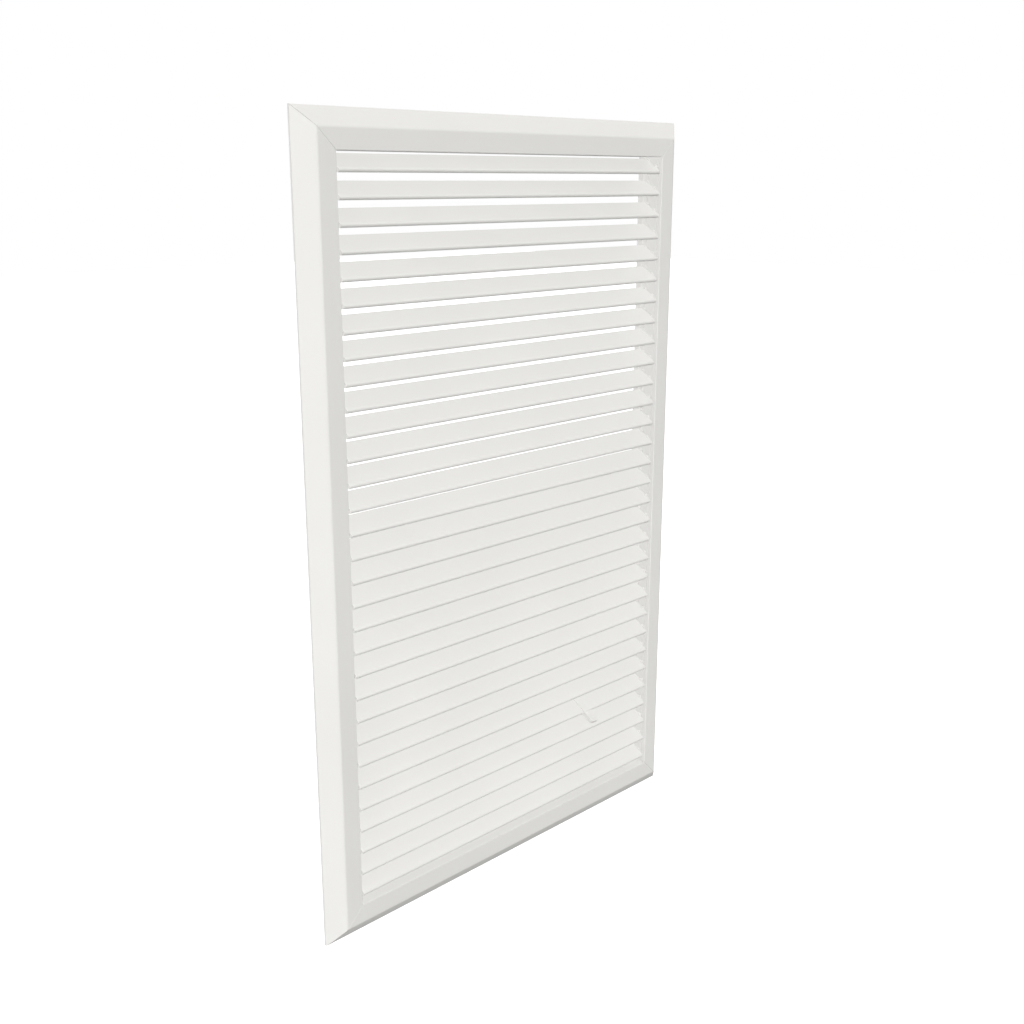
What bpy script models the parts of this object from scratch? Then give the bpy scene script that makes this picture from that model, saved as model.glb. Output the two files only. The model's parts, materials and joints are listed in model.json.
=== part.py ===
"""Louvred air grille: a mitred wall frame, two bearing plates, linked turning blades and a finger lever.

Units are metres. +X is to the viewer's right, +Y goes into the wall, +Z is up.
The wall plane is y = 0 and the middle of the outer frame is the origin.
"""
import math

import bmesh
import bpy
from mathutils import Matrix

# Frame
FRAME_WIDTH = 0.460
FRAME_HEIGHT = 0.710
BORDER = 0.0325
BEVEL_WIDTH = 0.015
FACE_DEPTH = 0.0148
LIP_HEIGHT = 0.0022
RIDGE_RADIUS = 0.004
RIDGE_STEPS = 3
INNER_RADIUS = 0.0006
INNER_STEPS = 2
WALL = 0.0015
FOOT_WIDTH = 0.006
FOOT_THICKNESS = 0.0012
LEG_BACK = 0.0095
MITRE_GAP = 0.00015
RIB_THICKNESS = 0.0012
RIB_REACH = 0.0025

# Corner cleats
CLEAT_ARM = 0.030
CLEAT_WIDTH = 0.0110
CLEAT_THICKNESS = 0.0020

# Fits
GAP = 0.0003
HOLE_CLEARANCE = 0.00035

# Blades
BLADE_COUNT = 31
PITCH = 0.0207
TOP_PIVOT_Z = 0.3124
PIVOT_Y = -0.0072
REST_ANGLE = math.radians(36.5)
NOSE_RADIUS = 0.0020
TAIL_RADIUS = 0.0006
NOSE_TO_PIVOT = 0.0070
PIVOT_TO_TAIL = 0.0132
BULGE = 0.00022
BULGE_PLACE = 0.30
BLADE_LEFT_END = 0.1957
BLADE_RIGHT_END = 0.1943
NOSE_STEPS = 6
TAIL_STEPS = 2

# Blade end pins
PIN_RADIUS = 0.0012
PIN_SIDES = 8
PIVOT_BOSS_RADIUS = 0.0027
LINK_BOSS_RADIUS = 0.0023
BOSS_SIDES = 10
BOSS_ROOT = 0.0010
LINK_CRANK = 0.0105

# Bearing plates
PLATE_THICKNESS = 0.0009
PLATE_FRONT = -0.0106
FLANGE_FRONT = 0.0070
FLANGE_REACH = 0.0080

# Link bar
BAR_THICKNESS = 0.0010
BAR_FRONT = -0.0006
BAR_BACK = 0.0032
EAR_RADIUS = 0.0024
EAR_STEPS = 4
BAR_OVERRUN = 0.0024

# Finger lever on the fifth blade from the bottom
LEVER_BLADE = 27
LEVER_X = 0.0992
LEVER_WIDTH = 0.0104
LEVER_GAP = 0.0002
STRIP_THICKNESS = 0.0007
STRIP_BACK = 0.0100
HOOK_THICKNESS = 0.0008
HOOK_START = 262
HOOK_STOP = 100
HOOK_STEPS = 8
TAB_BACK = 0.0097
TAB_REACH = 0.0228
TAB_THICKNESS = 0.0050
TAB_CORNER = 0.0028
TAB_CORNER_STEPS = 4
TAB_EDGE = 0.0020
TAB_EDGE_STEPS = 3
GRIP_RIB_RADIUS = 0.0005
GRIP_RIB_PROUD = 0.0002
GRIP_RIB_WIDTH = 0.0062
GRIP_RIB_COUNT = 4
GRIP_RIB_FIRST = -0.0138
GRIP_RIB_PITCH = 0.0022

# Finishes
WHITE = (0.80, 0.80, 0.78)
BARE_ALUMINIUM = (0.62, 0.62, 0.63)
PAINT_ROUGHNESS = 0.45
PLATE_ROUGHNESS = 0.50
METAL_ROUGHNESS = 0.40
PLASTIC_ROUGHNESS = 0.40

# Mesh making
WELD_DISTANCE = 0.00001
FLAT_ANGLE = math.radians(1)
SHARP_ANGLE = math.radians(40)
QUARTER_TURN = math.radians(90)
PROFILE_TO_YZ = Matrix(((0, 0, 1, 0), (1, 0, 0, 0), (0, 1, 0, 0), (0, 0, 0, 1)))
PROFILE_TO_XZ = Matrix(((1, 0, 0, 0), (0, 0, -1, 0), (0, 1, 0, 0), (0, 0, 0, 1)))

JAMB_X = FRAME_WIDTH / 2 - BORDER
PLATE_OUTER_X = JAMB_X - GAP
PLATE_INNER_X = PLATE_OUTER_X - PLATE_THICKNESS
BAR_OUTER_X = PLATE_INNER_X - GAP
BAR_INNER_X = BAR_OUTER_X - BAR_THICKNESS
LINK_BOSS_END_X = BAR_INNER_X - GAP
PIVOT_BOSS_END_X = PLATE_INNER_X - GAP


def clear_scene():
    for item in list(bpy.data.objects):
        bpy.data.objects.remove(item)
    for group in list(bpy.data.collections):
        bpy.data.collections.remove(group)


def new_collection(name):
    group = bpy.data.collections.new(name)
    bpy.context.scene.collection.children.link(group)
    return group


def material(name, colour, roughness, metallic=0.0):
    item = bpy.data.materials.new(name)
    item.use_nodes = True
    shader = item.node_tree.nodes["Principled BSDF"]
    shader.inputs["Base Color"].default_value = (*colour, 1.0)
    shader.inputs["Roughness"].default_value = roughness
    shader.inputs["Metallic"].default_value = metallic
    return item


def arc(centre, radius, start, stop, steps):
    """Points on an arc, angles in degrees."""
    points = []
    for step in range(steps + 1):
        angle = math.radians(start + (stop - start) * step / steps)
        points.append((centre[0] + radius * math.cos(angle), centre[1] + radius * math.sin(angle)))
    return points


def ring(centre, radius, sides):
    return arc(centre, radius, 180.0 / sides, 360.0 - 180.0 / sides, sides - 1)


def prism(outlines, length, turn=Matrix.Identity(4)):
    """Mesh of closed outlines, drawn in local XY and drawn out by length along local Z, then turned."""
    curve = bpy.data.curves.new("outline", "CURVE")
    curve.dimensions = "2D"
    curve.fill_mode = "BOTH"
    curve.extrude = length / 2
    for outline in outlines:
        spline = curve.splines.new("POLY")
        spline.points.add(len(outline) - 1)
        for point, (across, along) in zip(spline.points, outline):
            point.co = (across, along, 0, 1)
        spline.use_cyclic_u = True
    holder = bpy.data.objects.new("outline", curve)
    bpy.context.scene.collection.objects.link(holder)
    bpy.context.view_layer.update()
    mesh = bpy.data.meshes.new_from_object(holder.evaluated_get(bpy.context.evaluated_depsgraph_get()))
    bpy.data.objects.remove(holder)
    weld(mesh)
    mesh.transform(turn)
    return mesh


def weld(mesh):
    work = bmesh.new()
    work.from_mesh(mesh)
    bmesh.ops.remove_doubles(work, verts=work.verts, dist=WELD_DISTANCE)
    bmesh.ops.recalc_face_normals(work, faces=work.faces)
    work.to_mesh(mesh)
    work.free()


def place(name, mesh, group, paint, location=(0, 0, 0), rotation=(0, 0, 0)):
    mesh.shade_smooth()
    mesh.set_sharp_from_angle(angle=SHARP_ANGLE)
    item = bpy.data.objects.new(name, mesh)
    item.modifiers.new("normals", "WEIGHTED_NORMAL").keep_sharp = True
    item.location = location
    item.rotation_euler = rotation
    if not mesh.materials:
        mesh.materials.append(paint)
    group.objects.link(item)
    return item


def rod(start, end, centre, radius, sides, group):
    """Cylinder along X between two x positions, used to join to or cut from another mesh."""
    bpy.ops.mesh.primitive_cylinder_add(vertices=sides, radius=radius, depth=end - start)
    item = bpy.context.object
    turn = Matrix.Rotation(QUARTER_TURN, 4, "Y") @ Matrix.Rotation(math.pi / sides, 4, "Z")
    item.data.transform(turn)
    item.location = ((start + end) / 2, centre[0], centre[1])
    for owner in list(item.users_collection):
        owner.objects.unlink(item)
    group.objects.link(item)
    item.hide_render = True
    item.display_type = "WIRE"
    return item


def combined(mesh, others, operation):
    """Mesh after an exact Boolean with every one of the others, which are then removed."""
    base = bpy.data.objects.new("base", mesh)
    bpy.context.scene.collection.objects.link(base)
    for other in others:
        modifier = base.modifiers.new("cut", "BOOLEAN")
        modifier.operation = operation
        modifier.solver = "EXACT"
        modifier.object = other
    bpy.context.view_layer.update()
    result = bpy.data.meshes.new_from_object(base.evaluated_get(bpy.context.evaluated_depsgraph_get()))
    bpy.data.objects.remove(base)
    for other in others:
        bpy.data.objects.remove(other)
    weld(result)
    result.materials.clear()
    return result


# ---------------------------------------------------------------- frame


def rail_outline():
    """Rail section: inward distance from the outer edge, and depth with the face at -FACE_DEPTH."""
    rise = FACE_DEPTH - LIP_HEIGHT
    slope = math.degrees(math.atan2(rise, BEVEL_WIDTH))
    unit = math.hypot(BEVEL_WIDTH, rise)
    inset_in = WALL * rise / unit
    inset_back = WALL * BEVEL_WIDTH / unit
    ridge_setback = RIDGE_RADIUS * math.tan(math.radians(slope / 2))
    ridge_centre = (BEVEL_WIDTH + ridge_setback, -FACE_DEPTH + RIDGE_RADIUS)
    face_back = -FACE_DEPTH + WALL
    leg_in = BORDER - WALL
    run = BEVEL_WIDTH / rise
    foot_top = inset_in + (FOOT_THICKNESS - LIP_HEIGHT + inset_back) * run
    rib_in = BEVEL_WIDTH + ridge_setback
    rib_face_depth = face_back + GAP + CLEAT_THICKNESS + GAP
    inner_corner = (BORDER - INNER_RADIUS, -FACE_DEPTH + INNER_RADIUS)
    bevel_back = inset_in + (-face_back - LIP_HEIGHT + inset_back) * run
    points = [(0, 0), (0, -LIP_HEIGHT)]
    points += arc(ridge_centre, RIDGE_RADIUS, 270 - slope, 270, RIDGE_STEPS)
    points += arc(inner_corner, INNER_RADIUS, 270, 360, INNER_STEPS)
    points += [(BORDER, LEG_BACK), (leg_in, LEG_BACK)]
    points += [(leg_in, rib_face_depth + RIB_THICKNESS), (leg_in - RIB_REACH, rib_face_depth + RIB_THICKNESS)]
    points += [(leg_in - RIB_REACH, rib_face_depth), (leg_in, rib_face_depth), (leg_in, face_back)]
    points += [(rib_in + RIB_THICKNESS, face_back), (rib_in + RIB_THICKNESS, rib_face_depth)]
    points += [(rib_in, rib_face_depth), (rib_in, face_back), (bevel_back, face_back)]
    points += [(foot_top, -FOOT_THICKNESS), (FOOT_WIDTH, -FOOT_THICKNESS), (FOOT_WIDTH, 0)]
    return points


def rail_mesh(length):
    mesh = prism([rail_outline()], length)
    for vertex in mesh.vertices:
        end = length / 2 - vertex.co.x - MITRE_GAP
        vertex.co.z = math.copysign(end, vertex.co.z)
    weld(mesh)
    return mesh


def build_frame(group, paint):
    half_width = FRAME_WIDTH / 2
    half_height = FRAME_HEIGHT / 2
    upright = rail_mesh(FRAME_HEIGHT)
    level = rail_mesh(FRAME_WIDTH)
    place("frame_left", upright, group, paint, (-half_width, 0, 0))
    place("frame_right", upright, group, paint, (half_width, 0, 0), (0, 2 * QUARTER_TURN, 0))
    place("frame_top", level, group, paint, (0, 0, half_height), (0, QUARTER_TURN, 0))
    place("frame_bottom", level, group, paint, (0, 0, -half_height), (0, -QUARTER_TURN, 0))


def build_cleats(group, paint):
    """Flat angle brackets that lie behind the face in the rails' channel and join the mitres."""
    outer = BORDER - WALL - GAP - CLEAT_WIDTH
    arm = CLEAT_ARM
    width = CLEAT_WIDTH
    outline = [(0, 0), (arm, 0), (arm, width), (width, width), (width, arm), (0, arm)]
    mesh = prism([outline], CLEAT_THICKNESS, PROFILE_TO_XZ)
    depth = -FACE_DEPTH + WALL + GAP + CLEAT_THICKNESS / 2
    corners = (("bottom_left", -1, -1), ("top_left", -1, 1), ("top_right", 1, 1), ("bottom_right", 1, -1))
    for turns, (name, side, level) in enumerate(corners):
        spot = (side * (FRAME_WIDTH / 2 - outer), depth, level * (FRAME_HEIGHT / 2 - outer))
        place("cleat_" + name, mesh, group, paint, spot, (0, turns * QUARTER_TURN, 0))


# ---------------------------------------------------------------- blades


def surface_height(along):
    """Height of a blade's upper surface above its chord line, before the slight bulge."""
    length = NOSE_TO_PIVOT + PIVOT_TO_TAIL
    taper = math.asin((NOSE_RADIUS - TAIL_RADIUS) / length)
    return (NOSE_RADIUS - (along + NOSE_TO_PIVOT) * math.sin(taper)) / math.cos(taper)


def blade_outline():
    """Blade section about its pivot, nose towards -, tail towards +."""
    length = NOSE_TO_PIVOT + PIVOT_TO_TAIL
    taper = math.degrees(math.asin((NOSE_RADIUS - TAIL_RADIUS) / length))
    middle = BULGE_PLACE * length - NOSE_TO_PIVOT
    height = surface_height(middle) + BULGE
    points = arc((-NOSE_TO_PIVOT, 0), NOSE_RADIUS, 90 - taper, 270 + taper, NOSE_STEPS)
    points.append((middle, -height))
    points += arc((PIVOT_TO_TAIL, 0), TAIL_RADIUS, -90 + taper, 90 - taper, TAIL_STEPS)
    points.append((middle, height))
    return points


def blade_mesh(tools):
    mesh = prism([blade_outline()], BLADE_RIGHT_END + BLADE_LEFT_END, PROFILE_TO_YZ)
    mesh.transform(Matrix.Translation(((BLADE_RIGHT_END - BLADE_LEFT_END) / 2, 0, 0)))
    root = BLADE_RIGHT_END - BOSS_ROOT
    left_root = -BLADE_LEFT_END + BOSS_ROOT
    pivot = (0, 0)
    link = (LINK_CRANK, 0)
    pieces = [
        rod(-PIVOT_BOSS_END_X, left_root, pivot, PIVOT_BOSS_RADIUS, BOSS_SIDES, tools),
        rod(-PLATE_OUTER_X, -PIVOT_BOSS_END_X + BOSS_ROOT, pivot, PIN_RADIUS, PIN_SIDES, tools),
        rod(root, LINK_BOSS_END_X, pivot, PIVOT_BOSS_RADIUS, BOSS_SIDES, tools),
        rod(root, PLATE_OUTER_X, pivot, PIN_RADIUS, PIN_SIDES, tools),
        rod(root, LINK_BOSS_END_X, link, LINK_BOSS_RADIUS, BOSS_SIDES, tools),
        rod(root, BAR_OUTER_X, link, PIN_RADIUS, PIN_SIDES, tools),
    ]
    return combined(mesh, pieces, "UNION")


def pivot_height(number):
    return TOP_PIVOT_Z - (number - 1) * PITCH


def build_blades(group, tools, paint):
    mesh = blade_mesh(tools)
    for number in range(1, BLADE_COUNT + 1):
        spot = (0, PIVOT_Y, pivot_height(number))
        place("blade_%02d" % number, mesh, group, paint, spot, (REST_ANGLE, 0, 0))


# ---------------------------------------------------------------- bearing plates


def plate_mesh(tools):
    """Right-hand bearing plate: a web with a hole for every pivot and a flange behind the blades."""
    tip = PLATE_OUTER_X - FLANGE_REACH
    back = FLANGE_FRONT + PLATE_THICKNESS
    outline = [(PLATE_OUTER_X, PLATE_FRONT), (PLATE_OUTER_X, back), (tip, back), (tip, FLANGE_FRONT)]
    outline += [(PLATE_INNER_X, FLANGE_FRONT), (PLATE_INNER_X, PLATE_FRONT)]
    mesh = prism([outline], FRAME_HEIGHT - 2 * (BORDER + GAP))
    radius = PIN_RADIUS + HOLE_CLEARANCE
    drills = []
    for number in range(1, BLADE_COUNT + 1):
        centre = (PIVOT_Y, pivot_height(number))
        drills.append(rod(PLATE_INNER_X - GAP, PLATE_OUTER_X + GAP, centre, radius, PIN_SIDES, tools))
    return combined(mesh, drills, "DIFFERENCE")


def build_plates(group, tools, paint):
    right = plate_mesh(tools)
    left = right.copy()
    left.transform(Matrix.Scale(-1, 4, (1, 0, 0)))
    weld(left)
    place("bearing_plate_right", right, group, paint)
    place("bearing_plate_left", left, group, paint)


# ---------------------------------------------------------------- link bar


def build_link_bar(group, paint):
    """Bar with a forward ear and a hole for every blade's link pin, origin at the lever blade's link pin."""
    outer = []
    holes = []
    top = pivot_height(1) - pivot_height(LEVER_BLADE)
    bottom = pivot_height(BLADE_COUNT) - pivot_height(LEVER_BLADE)
    meet = math.degrees(math.acos(-BAR_FRONT / EAR_RADIUS))
    for number in range(1, BLADE_COUNT + 1):
        level = pivot_height(number) - pivot_height(LEVER_BLADE)
        outer += arc((0, level), EAR_RADIUS, 180 - meet, 180 + meet, EAR_STEPS)
        holes.append(ring((0, level), PIN_RADIUS + HOLE_CLEARANCE, PIN_SIDES))
    outer += [(BAR_FRONT, bottom - BAR_OVERRUN), (BAR_BACK, bottom - BAR_OVERRUN)]
    outer += [(BAR_BACK, top + BAR_OVERRUN), (BAR_FRONT, top + BAR_OVERRUN)]
    mesh = prism([outer] + holes, BAR_THICKNESS, PROFILE_TO_YZ)
    spot = (
        (BAR_INNER_X + BAR_OUTER_X) / 2,
        PIVOT_Y + LINK_CRANK * math.cos(REST_ANGLE),
        pivot_height(LEVER_BLADE) + LINK_CRANK * math.sin(REST_ANGLE),
    )
    place("link_bar", mesh, group, paint, spot)


# ---------------------------------------------------------------- lever


def lever_height(along):
    """Height of the lever's top face above the blade's chord line: it lies on the blade's upper surface."""
    return surface_height(along) + BULGE + LEVER_GAP + STRIP_THICKNESS


def clip_outline():
    """Side view of the clip: a strip on the blade's upper surface and a hook round the nose."""
    inner = NOSE_RADIUS + LEVER_GAP
    outer = inner + HOOK_THICKNESS
    nose = (-NOSE_TO_PIVOT, 0)
    under_nose = -NOSE_TO_PIVOT
    points = [(STRIP_BACK, lever_height(STRIP_BACK)), (under_nose, lever_height(under_nose))]
    points += arc(nose, outer, HOOK_STOP, HOOK_START, HOOK_STEPS)
    points += arc(nose, inner, HOOK_START, HOOK_STOP, HOOK_STEPS)
    points += [(under_nose, lever_height(under_nose) - STRIP_THICKNESS)]
    points += [(STRIP_BACK, lever_height(STRIP_BACK) - STRIP_THICKNESS)]
    return points


def tab_mesh():
    """Finger tab ahead of the nose: rounded at its front corners and along its lower edges."""
    half = LEVER_WIDTH / 2
    front = -TAB_REACH + TAB_CORNER
    inward = half - TAB_CORNER
    outline = [(half, -TAB_BACK), (-half, -TAB_BACK)]
    outline += arc((-inward, front), TAB_CORNER, 180, 270, TAB_CORNER_STEPS)
    outline += arc((inward, front), TAB_CORNER, 270, 360, TAB_CORNER_STEPS)
    mesh = prism([outline], TAB_THICKNESS)
    work = bmesh.new()
    work.from_mesh(mesh)
    bmesh.ops.dissolve_limit(work, angle_limit=FLAT_ANGLE, verts=work.verts, edges=work.edges)
    rim = []
    for edge in work.edges:
        if all(corner.co.z < 0 and corner.co.y < -TAB_BACK for corner in edge.verts):
            rim.append(edge)
    bmesh.ops.bevel(work, geom=rim, offset=TAB_EDGE, segments=TAB_EDGE_STEPS, profile=0.5, affect="EDGES")
    for corner in work.verts:
        corner.co.z += lever_height(corner.co.y) - TAB_THICKNESS / 2
    work.to_mesh(mesh)
    work.free()
    return mesh


def lever_mesh(tools):
    mesh = prism([clip_outline()], LEVER_WIDTH, PROFILE_TO_YZ)
    tab = bpy.data.objects.new("tab", tab_mesh())
    tools.objects.link(tab)
    pieces = [tab]
    for number in range(GRIP_RIB_COUNT):
        along = GRIP_RIB_FIRST - number * GRIP_RIB_PITCH
        height = lever_height(along) + GRIP_RIB_PROUD - GRIP_RIB_RADIUS
        side = GRIP_RIB_WIDTH / 2
        pieces.append(rod(-side, side, (along, height), GRIP_RIB_RADIUS, BOSS_SIDES, tools))
    return combined(mesh, pieces, "UNION")


def build_lever(group, tools, paint):
    spot = (LEVER_X, PIVOT_Y, pivot_height(LEVER_BLADE))
    place("finger_lever", lever_mesh(tools), group, paint, spot, (REST_ANGLE, 0, 0))


def main():
    clear_scene()
    group = new_collection("louvred_air_grille")
    tools = new_collection("cutters")
    build_frame(group, material("frame_paint", WHITE, PAINT_ROUGHNESS))
    build_cleats(group, material("cleat_metal", BARE_ALUMINIUM, METAL_ROUGHNESS, 1.0))
    build_plates(group, tools, material("plate_paint", WHITE, PLATE_ROUGHNESS))
    build_blades(group, tools, material("blade_paint", WHITE, PAINT_ROUGHNESS))
    build_link_bar(group, material("bar_paint", WHITE, PLATE_ROUGHNESS))
    build_lever(group, tools, material("lever_plastic", WHITE, PLASTIC_ROUGHNESS))


main()
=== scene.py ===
"""Looks of the louvred air grille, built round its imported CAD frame.

Metres, +Z up. The face looks along -Y and the wall plane is at y = 0.
"""
import json
import math

import bmesh
import bpy
from mathutils import Matrix, Vector


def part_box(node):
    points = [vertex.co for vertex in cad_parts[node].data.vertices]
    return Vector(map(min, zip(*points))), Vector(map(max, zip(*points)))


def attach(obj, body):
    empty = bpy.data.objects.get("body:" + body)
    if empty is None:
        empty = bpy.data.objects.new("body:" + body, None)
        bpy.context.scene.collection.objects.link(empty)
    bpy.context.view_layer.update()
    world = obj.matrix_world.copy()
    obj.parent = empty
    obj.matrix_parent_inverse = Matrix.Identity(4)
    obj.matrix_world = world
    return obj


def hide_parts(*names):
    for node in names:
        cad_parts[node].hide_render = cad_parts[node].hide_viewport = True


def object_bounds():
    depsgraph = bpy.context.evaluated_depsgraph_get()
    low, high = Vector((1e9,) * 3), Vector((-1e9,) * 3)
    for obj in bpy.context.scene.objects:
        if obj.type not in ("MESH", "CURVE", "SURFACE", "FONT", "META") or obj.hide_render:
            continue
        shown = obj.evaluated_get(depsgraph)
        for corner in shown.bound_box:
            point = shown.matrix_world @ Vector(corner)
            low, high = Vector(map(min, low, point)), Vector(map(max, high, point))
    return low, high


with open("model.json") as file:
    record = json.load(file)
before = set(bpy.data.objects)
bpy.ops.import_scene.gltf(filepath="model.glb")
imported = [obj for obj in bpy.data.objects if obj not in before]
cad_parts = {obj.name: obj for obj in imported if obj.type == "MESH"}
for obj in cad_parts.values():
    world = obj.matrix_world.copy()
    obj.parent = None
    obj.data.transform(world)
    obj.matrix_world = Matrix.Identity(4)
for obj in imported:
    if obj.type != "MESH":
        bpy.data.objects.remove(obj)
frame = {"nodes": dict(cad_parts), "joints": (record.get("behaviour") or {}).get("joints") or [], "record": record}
cad_low, cad_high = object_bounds()

# Meshing
ARC_STEP = 0.0004
WELD_DISTANCE = 0.000005
STRAIGHT_ANGLE = math.radians(178)
SHARP_ANGLE = math.radians(32)
BEVEL_ANGLE = math.radians(50)
FLAT_ANGLE = math.radians(1)

# Rail section
EDGE_BREAK = 0.0002
BEVEL_WIDTH = 0.015
LIP_HEIGHT = 0.0022
LIP_EDGE = 0.0002
RIDGE_RADIUS = 0.004
INNER_RADIUS = 0.0006
WALL = 0.0015
FOOT_WIDTH = 0.006
FOOT_THICKNESS = 0.0012
MITRE_GAP = 0.00022
RIB_THICKNESS = 0.0012
RIB_REACH = 0.0025
CLEAT_THICKNESS = 0.0020
CLEAT_EDGE = 0.0003
GAP = 0.0003

# Blade section and end caps
NOSE_RADIUS = 0.0020
TAIL_RADIUS = 0.0006
NOSE_TO_PIVOT = 0.0070
PIVOT_TO_TAIL = 0.0132
BULGE = 0.00022
BULGE_PLACE = 0.30
NOSE_STEPS = 24
SIDE_STEPS = 12
TAIL_STEPS = 8
CAP_LENGTH = 0.0014
CAP_SEAM = 0.00012
CAP_SEAM_DEPTH = 0.00012
CAP_EDGE = 0.00012
BLADE_LEFT_END = 0.1957
BLADE_RIGHT_END = 0.1943
BOSS_ROOT = 0.0010
PIN_RADIUS = 0.0012
PIN_EDGE = 0.0001
PIN_SIDES = 20
PIVOT_BOSS_RADIUS = 0.0027
LINK_BOSS_RADIUS = 0.0023
BOSS_SIDES = 32
LINK_CRANK = 0.0105
REST_ANGLE = math.radians(36.5)

# Bearing plates and link bar
PLATE_THICKNESS = 0.0009
PLATE_BEND = 0.0006
BAR_THICKNESS = 0.0010
BAR_FRONT = -0.0006
BAR_BACK = 0.0032
BAR_EDGE = 0.00012
EAR_RADIUS = 0.0024
EAR_STEPS = 16
HOLE_CLEARANCE = 0.00035
HOLE_SIDES = 24

# Finger lever
LEVER_GAP = 0.0002
LEVER_EDGE = 0.0003
STRIP_THICKNESS = 0.0007
STRIP_BACK = 0.0100
HOOK_THICKNESS = 0.0008
HOOK_START = 100
HOOK_STOP = 262
HOOK_STEPS = 24
TAB_BACK = 0.0097
TAB_REACH = 0.0228
TAB_THICKNESS = 0.0050
TAB_CORNER = 0.0033
TAB_CORNER_STEPS = 12
TAB_EDGE = 0.0020
TAB_EDGE_STEPS = 8
TAB_TOP_EDGE = 0.00015
TAB_TOP_STEPS = 3
TAB_TOLERANCE = 0.00001
GRIP_RIB_COUNT = 4
GRIP_RIB_FIRST = -0.0138
GRIP_RIB_PITCH = 0.0022
GRIP_RIB_RADIUS = 0.0005
GRIP_RIB_PROUD = 0.0003
GRIP_RIB_WIDTH = 0.0062
GRIP_RIB_EDGE = 0.0002
GRIP_RIB_SIDES = 16

# Paint, plastic and metal: colours, grain sizes as noise scales per metre, and bump heights
PAINT = (0.815, 0.809, 0.784)
PAINT_IOR = 1.48
FRAME_ROUGHNESS = 0.42
BLADE_ROUGHNESS = 0.40
PLATE_ROUGHNESS = 0.48
FRAME_PEEL = 0.000012
BLADE_PEEL = 0.000010
PLATE_PEEL = 0.000014
DRIFT_SCALE = 9.0
SPECKLE_SCALE = 2600.0
SMEAR_SCALE = 34.0
PEEL_SCALE = 620.0
FINE_PEEL_SCALE = 1900.0
FINE_PEEL_SHARE = 0.45
PLASTIC_IOR = 1.5
CAP_ROUGHNESS = 0.42
LEVER_ROUGHNESS = 0.36
MARK_SCALE = 130.0
RUB_SCALE = 420.0
SPARK_SCALE = 3200.0
SPARK_HEIGHT = 0.000012
BRIGHT_METAL = (0.66, 0.66, 0.67)
DULL_METAL = (0.55, 0.55, 0.56)
DULL_SCALE = 60.0
LINE_SCALE = 900.0
LINE_STRETCH = (1.0, 1.0, 0.04)
LINE_HEIGHT = 0.000008

# Studio
LAMPS = {
    "key_light": {"towards": (-0.60, -0.56, 0.565), "strength": 3.67, "spread": 156, "highlights": True},
    "fill_light": {"towards": (0.60, 0.55, -0.30), "strength": 0.20, "spread": 176, "highlights": True},
    "back_light": {"towards": (0.35, 0.90, 0.03), "strength": 1.8, "spread": 50, "highlights": False},
}
FILL_STRENGTH = 0.06
FILL_COLOUR = (1.0, 0.98, 0.92, 1)
REFLECTED_STRENGTH = 0.26
WHITE = (1, 1, 1, 1)
FLOOR_COLOUR = (0.9, 0.9, 0.9, 1)
FLOOR_GLOW = 0.6
FLOOR_SIZE = 8.0
FLOOR_DROP = 0.0005
CAMERA_PLACE = (-0.79102, -0.79594, 0.29999)
CAMERA_TILT = math.radians(75)
CAMERA_TURN = math.radians(-45)
CAMERA_VIEW = math.radians(45)
CAMERA_SENSOR = 36.0
CAMERA_REACH = 50.0

PROFILE_TO_YZ = Matrix(((0, 0, 1, 0), (1, 0, 0, 0), (0, 1, 0, 0), (0, 0, 0, 1)))

JOINTS = {joint["name"]: joint for joint in frame["joints"]}
BODY_OF = {node: body for body, nodes in frame["record"]["behaviour"]["bodies"].items() for node in nodes}
BLADES = sorted(name for name in frame["nodes"] if name.startswith("blade_"))
LEVER_BLADE = next(node for node in BLADES if BODY_OF[node] == BODY_OF["finger_lever"])


def pivot_of(node):
    """The pivot point of a blade, from its joint in the record."""
    return Vector(JOINTS[node + "_pivot"]["pos_m"])


# ---------------------------------------------------------------- mesh helpers


def arc(centre, radius, start, stop, steps):
    """Points on an arc, angles in degrees."""
    points = []
    for step in range(steps + 1):
        angle = math.radians(start + (stop - start) * step / steps)
        points.append((centre[0] + radius * math.cos(angle), centre[1] + radius * math.sin(angle)))
    return points


def ring(centre, radius, sides):
    """Points of a closed circle."""
    return arc(centre, radius, 180.0 / sides, 360.0 - 180.0 / sides, sides - 1)


def rounded(corners):
    """Closed outline from (u, v, radius) corners, each rounded to its own radius."""
    points = []
    count = len(corners)
    for index, (u, v, radius) in enumerate(corners):
        here = Vector((u, v))
        before = (Vector(corners[index - 1][:2]) - here).normalized()
        after = (Vector(corners[(index + 1) % count][:2]) - here).normalized()
        angle = before.angle(after)
        if radius <= 0 or angle > STRAIGHT_ANGLE:
            points.append((u, v))
            continue
        setback = radius / math.tan(angle / 2)
        centre = here + (before + after).normalized() * radius / math.sin(angle / 2)
        start = here + before * setback - centre
        stop = here + after * setback - centre
        turn = start.angle_signed(stop)
        steps = 2 + round(radius / ARC_STEP)
        for step in range(steps + 1):
            spoke = start.copy()
            spoke.rotate(Matrix.Rotation(-turn * step / steps, 2))
            points.append(tuple(centre + spoke))
    return points


def sweep(rings):
    """Closed mesh through rings of the same number of 3-D points, with flat ends."""
    work = bmesh.new()
    loops = [[work.verts.new(point) for point in points] for points in rings]
    for first, second in zip(loops, loops[1:]):
        for index in range(len(first)):
            after = (index + 1) % len(first)
            work.faces.new((first[index], first[after], second[after], second[index]))
    work.faces.new(loops[0][::-1])
    work.faces.new(loops[-1])
    bmesh.ops.recalc_face_normals(work, faces=work.faces)
    mesh = bpy.data.meshes.new("swept")
    work.to_mesh(mesh)
    work.free()
    return mesh


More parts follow.
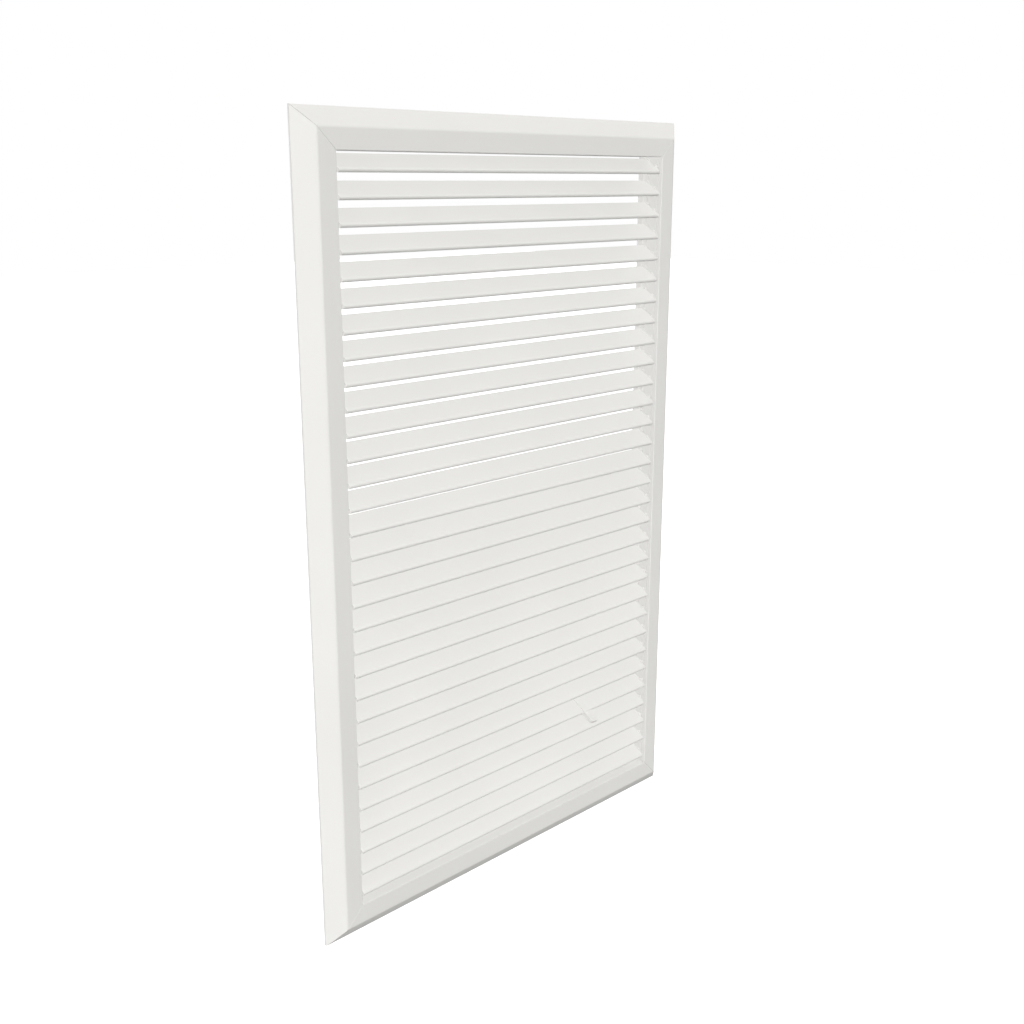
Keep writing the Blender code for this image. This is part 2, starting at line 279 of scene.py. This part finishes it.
def weld(mesh):
    """Joins points of the mesh that lie on each other and turns its faces outwards."""
    work = bmesh.new()
    work.from_mesh(mesh)
    bmesh.ops.remove_doubles(work, verts=work.verts, dist=WELD_DISTANCE)
    bmesh.ops.recalc_face_normals(work, faces=work.faces)
    work.to_mesh(mesh)
    work.free()


def evaluated(item):
    """The item's final mesh; the item itself is removed."""
    bpy.context.view_layer.update()
    mesh = bpy.data.meshes.new_from_object(item.evaluated_get(bpy.context.evaluated_depsgraph_get()))
    bpy.data.objects.remove(item)
    return mesh


def linked(name, data):
    """A new object with this data, in the scene."""
    item = bpy.data.objects.new(name, data)
    bpy.context.scene.collection.objects.link(item)
    return item


def prism(outlines, length, turn=Matrix.Identity(4)):
    """Mesh of closed outlines drawn in XY, with holes, drawn out by length along Z, then turned."""
    curve = bpy.data.curves.new("outline", "CURVE")
    curve.dimensions = "2D"
    curve.fill_mode = "BOTH"
    curve.extrude = length / 2
    for outline in outlines:
        spline = curve.splines.new("POLY")
        spline.points.add(len(outline) - 1)
        for point, (across, along) in zip(spline.points, outline):
            point.co = (across, along, 0, 1)
        spline.use_cyclic_u = True
    mesh = evaluated(linked("outline", curve))
    weld(mesh)
    mesh.transform(turn)
    return mesh


def rod(start, end, centre, radius, sides, edge=0.0):
    """Closed cylinder along X between two x positions, with its end edges broken by edge."""
    spans = [(start, radius), (end, radius)]
    if edge > 0:
        spans = [(start, radius - edge), (start + edge, radius), (end - edge, radius), (end, radius - edge)]
    rings = []
    for x, size in spans:
        rings.append([(x, centre[0] + u, centre[1] + v) for u, v in ring((0, 0), size, sides)])
    return sweep(rings)


def combined(mesh, others, operation):
    """Mesh after an exact Boolean with each of the other meshes."""
    base = linked("base", mesh)
    tools = [linked("tool", other) for other in others]
    for tool in tools:
        modifier = base.modifiers.new("cut", "BOOLEAN")
        modifier.operation = operation
        modifier.solver = "EXACT"
        modifier.object = tool
    result = evaluated(base)
    for tool in tools:
        bpy.data.objects.remove(tool)
    weld(result)
    return result


def soften(mesh, width):
    """Mesh with its sharp edges rounded."""
    item = linked("softened", mesh)
    modifier = item.modifiers.new("edges", "BEVEL")
    modifier.width = width
    modifier.segments = 2
    modifier.limit_method = "ANGLE"
    modifier.angle_limit = BEVEL_ANGLE
    modifier.use_clamp_overlap = True
    return evaluated(item)


def piece(node, mesh, paints, body):
    """One finished piece that rides on a body and stands for a CAD node."""
    mesh.materials.clear()
    for paint in paints:
        mesh.materials.append(paint)
    mesh.shade_smooth()
    mesh.set_sharp_from_angle(angle=SHARP_ANGLE)
    item = linked(node + "_finished", mesh)
    item.modifiers.new("normals", "WEIGHTED_NORMAL").keep_sharp = True
    item.visible_diffuse = False
    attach(item, body)
    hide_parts(node)
    return item


# ---------------------------------------------------------------- materials


class Nodes:
    """A small helper for writing node materials."""

    def __init__(self, name):
        self.material = bpy.data.materials.new(name)
        self.material.use_nodes = True
        self.tree = self.material.node_tree
        self.shader = self.tree.nodes["Principled BSDF"]
        self.place = self.add("ShaderNodeTexCoord").outputs["Object"]

    def add(self, kind, **settings):
        node = self.tree.nodes.new(kind)
        for key, value in settings.items():
            setattr(node, key, value)
        return node

    def join(self, output, socket):
        self.tree.links.new(output, socket)

    def noise(self, scale, detail=2.0, roughness=0.5, stretch=None):
        node = self.add("ShaderNodeTexNoise")
        node.inputs["Scale"].default_value = scale
        node.inputs["Detail"].default_value = detail
        node.inputs["Roughness"].default_value = roughness
        source = self.place
        if stretch:
            mapping = self.add("ShaderNodeMapping")
            mapping.inputs["Scale"].default_value = stretch
            self.join(self.place, mapping.inputs["Vector"])
            source = mapping.outputs["Vector"]
        self.join(source, node.inputs["Vector"])
        return node.outputs["Fac"]

    def ranged(self, value, source, target):
        """The value taken from the source range (low, high) to the target range, held at its ends."""
        node = self.add("ShaderNodeMapRange")
        for index, number in enumerate((*source, *target), start=1):
            node.inputs[index].default_value = number
        self.join(value, node.inputs[0])
        return node.outputs[0]

    def mix(self, factor, first, second):
        node = self.add("ShaderNodeMix", data_type="RGBA")
        self.join(factor, node.inputs[0])
        for socket, colour in ((node.inputs[6], first), (node.inputs[7], second)):
            if isinstance(colour, tuple):
                socket.default_value = (*colour, 1.0)
            else:
                self.join(colour, socket)
        return node.outputs[2]

    def add_share(self, first, second, share):
        """The first value plus a share of the second."""
        node = self.add("ShaderNodeMath", operation="MULTIPLY_ADD")
        self.join(second, node.inputs[0])
        node.inputs[1].default_value = share
        self.join(first, node.inputs[2])
        return node.outputs[0]

    def bump(self, height, distance):
        node = self.add("ShaderNodeBump")
        node.inputs["Distance"].default_value = distance
        node.inputs["Strength"].default_value = 1.0
        self.join(height, node.inputs["Height"])
        self.join(node.outputs["Normal"], self.shader.inputs["Normal"])


def powder_coat(name, roughness, peel):
    """White powder coat: tone drift, fine speckle, painted highlight on sharp edges, orange-peel bump."""
    kit = Nodes(name)
    shade = tuple(channel * 0.975 for channel in PAINT)
    warm = (PAINT[0] * 0.99, PAINT[1] * 0.975, PAINT[2] * 0.94)
    painted_edge_highlight = tuple(min(1.0, channel * 1.04) for channel in PAINT)
    drift = kit.ranged(kit.noise(DRIFT_SCALE, 3.0), (0.35, 0.65), (0.0, 1.0))
    tone = kit.mix(drift, PAINT, shade)
    speckle = kit.ranged(kit.noise(SPECKLE_SCALE, 1.0), (0.62, 0.75), (0.0, 0.5))
    tone = kit.mix(speckle, tone, warm)
    geometry = kit.add("ShaderNodeNewGeometry")
    # Painted highlight: sharp convex edges, found by pointiness, get a lighter colour.
    edge = kit.ranged(geometry.outputs["Pointiness"], (0.56, 0.68), (0.0, 0.35))
    tone = kit.mix(edge, tone, painted_edge_highlight)
    kit.join(tone, kit.shader.inputs["Base Color"])
    smear = kit.ranged(kit.noise(SMEAR_SCALE, 4.0), (0.3, 0.7), (roughness - 0.05, roughness + 0.06))
    kit.join(smear, kit.shader.inputs["Roughness"])
    coarse = kit.noise(PEEL_SCALE, 2.0)
    fine = kit.noise(FINE_PEEL_SCALE, 1.0)
    kit.bump(kit.add_share(coarse, fine, FINE_PEEL_SHARE), peel)
    kit.shader.inputs["IOR"].default_value = PAINT_IOR
    return kit.material


def moulded_plastic(name, roughness):
    """White moulded plastic: even colour, fine spark texture and handling marks."""
    kit = Nodes(name)
    shade = tuple(channel * 0.97 for channel in PAINT)
    marks = kit.ranged(kit.noise(MARK_SCALE, 4.0, 0.6), (0.45, 0.7), (0.0, 1.0))
    kit.join(kit.mix(marks, PAINT, shade), kit.shader.inputs["Base Color"])
    rub = kit.ranged(kit.noise(RUB_SCALE, 3.0), (0.3, 0.7), (roughness - 0.06, roughness + 0.07))
    kit.join(rub, kit.shader.inputs["Roughness"])
    kit.bump(kit.noise(SPARK_SCALE, 2.0), SPARK_HEIGHT)
    kit.shader.inputs["IOR"].default_value = PLASTIC_IOR
    return kit.material


def mill_aluminium(name):
    """Bare aluminium with fine drawn lines and dull patches."""
    kit = Nodes(name)
    lines = kit.noise(LINE_SCALE, 3.0, 0.6, stretch=LINE_STRETCH)
    dull = kit.ranged(kit.noise(DULL_SCALE, 3.0), (0.35, 0.65), (0.0, 1.0))
    kit.join(kit.mix(dull, BRIGHT_METAL, DULL_METAL), kit.shader.inputs["Base Color"])
    kit.shader.inputs["Metallic"].default_value = 1.0
    kit.join(kit.ranged(lines, (0.3, 0.7), (0.42, 0.58)), kit.shader.inputs["Roughness"])
    kit.bump(lines, LINE_HEIGHT)
    return kit.material


frame_paint = powder_coat("frame_powder_coat", FRAME_ROUGHNESS, FRAME_PEEL)
blade_paint = powder_coat("blade_powder_coat", BLADE_ROUGHNESS, BLADE_PEEL)
plate_paint = powder_coat("plate_powder_coat", PLATE_ROUGHNESS, PLATE_PEEL)
cap_plastic = moulded_plastic("cap_plastic", CAP_ROUGHNESS)
lever_plastic = moulded_plastic("lever_plastic", LEVER_ROUGHNESS)
cleat_metal = mill_aluminium("cleat_aluminium")


# ---------------------------------------------------------------- rails


def rail_outline(border, depth, leg_back):
    """Rail section: inward distance from the outer edge, and depth with the face at -depth."""
    rise = depth - LIP_HEIGHT
    slope = math.degrees(math.atan2(rise, BEVEL_WIDTH))
    unit = math.hypot(BEVEL_WIDTH, rise)
    inset_in = WALL * rise / unit
    inset_back = WALL * BEVEL_WIDTH / unit
    ridge_setback = RIDGE_RADIUS * math.tan(math.radians(slope / 2))
    face_back = -depth + WALL
    leg_in = border - WALL
    run = BEVEL_WIDTH / rise
    foot_top = inset_in + (FOOT_THICKNESS - LIP_HEIGHT + inset_back) * run
    rib_in = BEVEL_WIDTH + ridge_setback
    rib_back = face_back + GAP + CLEAT_THICKNESS + GAP
    bevel_back = inset_in + (-face_back - LIP_HEIGHT + inset_back) * run
    small = EDGE_BREAK
    return rounded(
        [
            (0, 0, small),
            (0, -LIP_HEIGHT, LIP_EDGE),
            (BEVEL_WIDTH, -depth, RIDGE_RADIUS),
            (border, -depth, INNER_RADIUS),
            (border, leg_back, small),
            (leg_in, leg_back, small),
            (leg_in, rib_back + RIB_THICKNESS, 0),
            (leg_in - RIB_REACH, rib_back + RIB_THICKNESS, small),
            (leg_in - RIB_REACH, rib_back, small),
            (leg_in, rib_back, 0),
            (leg_in, face_back, 0),
            (rib_in + RIB_THICKNESS, face_back, 0),
            (rib_in + RIB_THICKNESS, rib_back, small),
            (rib_in, rib_back, small),
            (rib_in, face_back, 0),
            (bevel_back, face_back, 0),
            (foot_top, -FOOT_THICKNESS, 0),
            (FOOT_WIDTH, -FOOT_THICKNESS, small),
            (FOOT_WIDTH, 0, small),
        ]
    )


def rail(name, half_length, outline, turn, shift):
    """A mitred rail, drawn along X with its outer edge at the origin, then turned about Y and moved."""
    stations = []
    for side in (-1, 1):
        ends = []
        for inward, depth in outline:
            ends.append((side * (half_length - inward - MITRE_GAP), depth, inward))
        stations.append(ends)
    mesh = sweep(stations)
    mesh.transform(Matrix.Translation(shift) @ Matrix.Rotation(turn, 4, "Y"))
    piece(name, mesh, [frame_paint], "frame")


def build_frame():
    """The four rails round the CAD model's outline."""
    half_width = cad_high.x
    half_height = cad_high.z
    low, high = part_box("frame_left")
    border = high.x - low.x
    outline = rail_outline(border, -low.y, high.y)
    quarter = math.radians(90)
    rail("frame_bottom", half_width, outline, 0, (0, 0, -half_height))
    rail("frame_top", half_width, outline, 2 * quarter, (0, 0, half_height))
    rail("frame_left", half_height, outline, quarter, (-half_width, 0, 0))
    rail("frame_right", half_height, outline, -quarter, (half_width, 0, 0))


# ---------------------------------------------------------------- blades


def surface_height(along):
    """Height of a blade's upper surface above its chord line, before the slight bulge."""
    length = NOSE_TO_PIVOT + PIVOT_TO_TAIL
    taper = math.asin((NOSE_RADIUS - TAIL_RADIUS) / length)
    return (NOSE_RADIUS - (along + NOSE_TO_PIVOT) * math.sin(taper)) / math.cos(taper)


def blade_outline(shrink=0.0):
    """Blade section about its pivot, nose towards -, tail towards +, made smaller all round by shrink."""
    length = NOSE_TO_PIVOT + PIVOT_TO_TAIL
    taper = math.asin((NOSE_RADIUS - TAIL_RADIUS) / length)
    degrees = math.degrees(taper)
    nose = arc((-NOSE_TO_PIVOT, 0), NOSE_RADIUS - shrink, 90 - degrees, 270 + degrees, NOSE_STEPS)
    tail = arc((PIVOT_TO_TAIL, 0), TAIL_RADIUS - shrink, -90 + degrees, 90 - degrees, TAIL_STEPS)
    under = []
    over = []
    start = -NOSE_TO_PIVOT + NOSE_RADIUS * math.sin(taper)
    stop = PIVOT_TO_TAIL + TAIL_RADIUS * math.sin(taper)
    for step in range(1, SIDE_STEPS):
        share = step / SIDE_STEPS
        along = start + (stop - start) * share
        rise = BULGE * bulge_share(share)
        height = surface_height(along) + rise - shrink
        under.append((along, -height))
        over.append((along, height))
    return nose + under + tail + over[::-1]


def bulge_share(share):
    """Smooth hump from 0 at both ends to 1 at the bulge's place."""
    if share < BULGE_PLACE:
        return math.sin(0.5 * math.pi * share / BULGE_PLACE)
    return math.cos(0.5 * math.pi * (share - BULGE_PLACE) / (1 - BULGE_PLACE))


def blade_prototype(pivot_boss_end, pin_end, link_boss_end, link_pin_end):
    """Blade about its pivot at zero angle: section, end caps, bosses and pins as one closed mesh."""
    left = -BLADE_LEFT_END
    right = BLADE_RIGHT_END
    left_seam = left + CAP_LENGTH
    right_seam = right - CAP_LENGTH
    groove = CAP_SEAM / 2
    places = [
        (left, CAP_EDGE),
        (left + CAP_EDGE, 0),
        (left_seam - groove, 0),
        (left_seam, CAP_SEAM_DEPTH),
        (left_seam + groove, 0),
        (right_seam - groove, 0),
        (right_seam, CAP_SEAM_DEPTH),
        (right_seam + groove, 0),
        (right - CAP_EDGE, 0),
        (right, CAP_EDGE),
    ]
    rings = []
    for x, shrink in places:
        rings.append([(x, along, height) for along, height in blade_outline(shrink)])
    body = sweep(rings)
    root = right - BOSS_ROOT
    pivot = (0, 0)
    link = (LINK_CRANK, 0)
    rods = [
        rod(-pivot_boss_end, left + BOSS_ROOT, pivot, PIVOT_BOSS_RADIUS, BOSS_SIDES, PIN_EDGE),
        rod(-pin_end, -pivot_boss_end + BOSS_ROOT, pivot, PIN_RADIUS, PIN_SIDES, PIN_EDGE),
        rod(root, pivot_boss_end, pivot, PIVOT_BOSS_RADIUS, BOSS_SIDES, PIN_EDGE),
        rod(pivot_boss_end - BOSS_ROOT, pin_end, pivot, PIN_RADIUS, PIN_SIDES, PIN_EDGE),
        rod(root, link_boss_end, link, LINK_BOSS_RADIUS, BOSS_SIDES, PIN_EDGE),
        rod(root, link_pin_end, link, PIN_RADIUS, PIN_SIDES, PIN_EDGE),
    ]
    mesh = combined(body, rods, "UNION")
    for face in mesh.polygons:
        face.material_index = 0 if left_seam < face.center.x < right_seam else 1
    return mesh


def build_blades():
    """All blades from one prototype, each at its own pivot and with its own end caps' material."""
    jamb_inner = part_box("frame_right")[0].x
    plate_outer = jamb_inner - GAP
    plate_inner = plate_outer - PLATE_THICKNESS
    bar_outer = plate_inner - GAP
    link_boss_end = bar_outer - BAR_THICKNESS - GAP
    prototype = blade_prototype(plate_inner - GAP, plate_outer, link_boss_end, bar_outer)
    prototype.transform(Matrix.Rotation(REST_ANGLE, 4, "X"))
    for node in BLADES:
        mesh = prototype.copy()
        mesh.transform(Matrix.Translation(pivot_of(node)))
        # Clearing a mesh's materials also clears these, so they are kept and set again.
        indices = [face.material_index for face in mesh.polygons]
        item = piece(node, mesh, [blade_paint, cap_plastic], BODY_OF[node])
        item.data.polygons.foreach_set("material_index", indices)


# ---------------------------------------------------------------- bearing plates and link bar


def build_plates():
    """Folded plates: a web with a hole for every pivot and a flange behind the blades' ends."""
    low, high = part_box("bearing_plate_right")
    inside = high.x - PLATE_THICKNESS
    flange_front = high.y - PLATE_THICKNESS
    corners = [
        (high.x, low.y, BAR_EDGE),
        (high.x, high.y, PLATE_BEND + PLATE_THICKNESS),
        (low.x, high.y, BAR_EDGE),
        (low.x, flange_front, BAR_EDGE),
        (inside, flange_front, PLATE_BEND),
        (inside, low.y, BAR_EDGE),
    ]
    outline = rounded(corners)
    web = sweep([[(x, y, z) for x, y in outline] for z in (low.z, high.z)])
    radius = PIN_RADIUS + HOLE_CLEARANCE
    drills = []
    for node in BLADES:
        centre = pivot_of(node)
        drills.append(rod(inside - GAP, high.x + GAP, (centre.y, centre.z), radius, HOLE_SIDES))
    right = combined(web, [joined(drills)], "DIFFERENCE")
    left = right.copy()
    left.transform(Matrix.Scale(-1, 4, (1, 0, 0)))
    left.flip_normals()
    piece("bearing_plate_right", right, [plate_paint], "frame")
    piece("bearing_plate_left", left, [plate_paint], "frame")


def joined(meshes):
    """One mesh of several separate closed meshes."""
    work = bmesh.new()
    for mesh in meshes:
        work.from_mesh(mesh)
        bpy.data.meshes.remove(mesh)
    result = bpy.data.meshes.new("joined")
    work.to_mesh(result)
    work.free()
    return result


def build_link_bar():
    """Bar with a forward ear and a hole for the link pin of every blade."""
    crank = Vector((0, LINK_CRANK * math.cos(REST_ANGLE), LINK_CRANK * math.sin(REST_ANGLE)))
    pins = [pivot_of(node) + crank for node in BLADES]
    low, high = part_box("link_bar")
    outer = []
    holes = []
    meet = math.degrees(math.acos(-BAR_FRONT / EAR_RADIUS))
    for pin in pins:
        outer += arc((pin.y, pin.z), EAR_RADIUS, 180 - meet, 180 + meet, EAR_STEPS)
        holes.append(ring((pin.y, pin.z), PIN_RADIUS + HOLE_CLEARANCE, HOLE_SIDES))
    depth = pins[0].y
    outer += [(depth + BAR_FRONT, low.z), (depth + BAR_BACK, low.z)]
    outer += [(depth + BAR_BACK, high.z), (depth + BAR_FRONT, high.z)]
    mesh = prism([outer] + holes, BAR_THICKNESS, PROFILE_TO_YZ)
    mesh.transform(Matrix.Translation(((low.x + high.x) / 2, 0, 0)))
    piece("link_bar", mesh, [plate_paint], "link_bar")


# ---------------------------------------------------------------- lever


def lever_height(along):
    """Height of the lever's top face above the blade's chord line."""
    return surface_height(along) + BULGE + LEVER_GAP + STRIP_THICKNESS


def clip_outline():
    """Side view of the clip: a strip on the blade's upper surface and a hook round the nose."""
    inner = NOSE_RADIUS + LEVER_GAP
    nose = (-NOSE_TO_PIVOT, 0)
    points = [(STRIP_BACK, lever_height(STRIP_BACK)), (-NOSE_TO_PIVOT, lever_height(-NOSE_TO_PIVOT))]
    points += arc(nose, inner + HOOK_THICKNESS, HOOK_START, HOOK_STOP, HOOK_STEPS)
    points += arc(nose, inner, HOOK_STOP, HOOK_START, HOOK_STEPS)
    points += [(-NOSE_TO_PIVOT, lever_height(-NOSE_TO_PIVOT) - STRIP_THICKNESS)]
    points += [(STRIP_BACK, lever_height(STRIP_BACK) - STRIP_THICKNESS)]
    return points


def tab_rim(work, side):
    """Edges round the tab's lower (-1) or upper (1) face, all but the one at its back."""
    rim = []
    for edge in work.edges:
        ends = [corner.co for corner in edge.verts]
        on_face = all(side * end.z > 0 and end.y < -TAB_BACK + TAB_TOLERANCE for end in ends)
        if on_face and any(end.y < -TAB_BACK - TAB_TOLERANCE for end in ends):
            rim.append(edge)
    return rim


def tab_mesh(width):
    """Finger tab ahead of the nose: rounded at its front corners and along its lower and upper edges."""
    half = width / 2
    front = -TAB_REACH + TAB_CORNER
    inward = half - TAB_CORNER
    outline = [(half, -TAB_BACK), (-half, -TAB_BACK)]
    outline += arc((-inward, front), TAB_CORNER, 180, 270, TAB_CORNER_STEPS)
    outline += arc((inward, front), TAB_CORNER, 270, 360, TAB_CORNER_STEPS)
    mesh = prism([outline], TAB_THICKNESS)
    work = bmesh.new()
    work.from_mesh(mesh)
    bmesh.ops.dissolve_limit(work, angle_limit=FLAT_ANGLE, verts=work.verts, edges=work.edges)
    for side, width, steps in ((-1, TAB_EDGE, TAB_EDGE_STEPS), (1, TAB_TOP_EDGE, TAB_TOP_STEPS)):
        rim = tab_rim(work, side)
        bmesh.ops.bevel(work, geom=rim, offset=width, segments=steps, profile=0.5, affect="EDGES")
    for corner in work.verts:
        corner.co.z += lever_height(corner.co.y) - TAB_THICKNESS / 2
    work.to_mesh(mesh)
    work.free()
    return mesh


def build_lever():
    """The clip with its tab and grip ribs, as one piece on the lever blade."""
    low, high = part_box("finger_lever")
    width = high.x - low.x
    clip = soften(prism([clip_outline()], width, PROFILE_TO_YZ), LEVER_EDGE)
    ribs = []
    side = GRIP_RIB_WIDTH / 2
    for number in range(GRIP_RIB_COUNT):
        along = GRIP_RIB_FIRST - number * GRIP_RIB_PITCH
        height = lever_height(along) + GRIP_RIB_PROUD - GRIP_RIB_RADIUS
        ribs.append(rod(-side, side, (along, height), GRIP_RIB_RADIUS, GRIP_RIB_SIDES, GRIP_RIB_EDGE))
    mesh = combined(clip, [tab_mesh(width)] + ribs, "UNION")
    mesh.transform(Matrix.Rotation(REST_ANGLE, 4, "X"))
    pivot = pivot_of(LEVER_BLADE)
    mesh.transform(Matrix.Translation(((low.x + high.x) / 2, pivot.y, pivot.z)))
    piece("finger_lever", mesh, [lever_plastic], BODY_OF["finger_lever"])


# ---------------------------------------------------------------- cleats


def finish_cleats():
    """The cleats keep their CAD shape, with broken edges and bare metal."""
    for name, item in frame["nodes"].items():
        if name.startswith("cleat_"):
            item.visible_diffuse = False
            item.data.materials.clear()
            item.data.materials.append(cleat_metal)
            modifier = item.modifiers.new("edges", "BEVEL")
            modifier.width = CLEAT_EDGE
            modifier.segments = 2
            modifier.limit_method = "ANGLE"


# ---------------------------------------------------------------- stage


def build_floor():
    """Plain pale floor that throws no colour on the object."""
    mesh = bpy.data.meshes.new("floor")
    work = bmesh.new()
    bmesh.ops.create_grid(work, x_segments=1, y_segments=1, size=FLOOR_SIZE)
    work.to_mesh(mesh)
    work.free()
    floor = linked("studio_floor", mesh)
    floor.location = (0, 0, cad_low.z - FLOOR_DROP)
    floor.visible_diffuse = False
    floor.visible_glossy = False
    pale = bpy.data.materials.new("floor_pale")
    pale.use_nodes = True
    shader = pale.node_tree.nodes["Principled BSDF"]
    shader.inputs["Base Color"].default_value = FLOOR_COLOUR
    shader.inputs["Roughness"].default_value = 1.0
    shader.inputs["Specular IOR Level"].default_value = 0.0
    shader.inputs["Emission Color"].default_value = WHITE
    shader.inputs["Emission Strength"].default_value = FLOOR_GLOW
    mesh.materials.append(pale)


def build_world():
    """White surroundings, full white to the camera and dimmer where they are mirrored or light the object."""
    world = bpy.data.worlds.new("studio")
    bpy.context.scene.world = world
    world.use_nodes = True
    tree = world.node_tree
    tree.nodes.clear()

    def background(colour, strength):
        node = tree.nodes.new("ShaderNodeBackground")
        node.inputs["Color"].default_value = colour
        node.inputs["Strength"].default_value = strength
        return node.outputs[0]

    path = tree.nodes.new("ShaderNodeLightPath")
    surface = background(FILL_COLOUR, FILL_STRENGTH)
    for ray, strength in (("Is Glossy Ray", REFLECTED_STRENGTH), ("Is Camera Ray", 1.0)):
        mix = tree.nodes.new("ShaderNodeMixShader")
        tree.links.new(path.outputs[ray], mix.inputs[0])
        tree.links.new(surface, mix.inputs[1])
        tree.links.new(background(WHITE, strength), mix.inputs[2])
        surface = mix.outputs[0]
    out = tree.nodes.new("ShaderNodeOutputWorld")
    tree.links.new(surface, out.inputs[0])


def build_lamps():
    """Wide, shadowless lamps, mainly from the upper left of the face."""
    for name, settings in LAMPS.items():
        lamp = bpy.data.lights.new(name, "SUN")
        lamp.energy = settings["strength"]
        lamp.angle = math.radians(settings["spread"])
        lamp.use_shadow = False
        item = linked(name, lamp)
        item.visible_glossy = settings["highlights"]
        item.rotation_euler = Vector(settings["towards"]).to_track_quat("Z", "Y").to_euler()


def build_camera():
    """Camera at the left of the face, level with its upper part and looking slightly down."""
    camera = bpy.data.cameras.new("camera")
    camera.sensor_width = CAMERA_SENSOR
    camera.lens = CAMERA_SENSOR / 2 / math.tan(CAMERA_VIEW / 2)
    camera.clip_end = CAMERA_REACH
    item = linked("camera", camera)
    item.location = CAMERA_PLACE
    item.rotation_euler = (CAMERA_TILT, 0, CAMERA_TURN)
    bpy.context.scene.camera = item
    bpy.context.scene.view_settings.view_transform = "Standard"


build_frame()
build_blades()
build_plates()
build_link_bar()
build_lever()
finish_cleats()
build_floor()
build_world()
build_lamps()
build_camera()
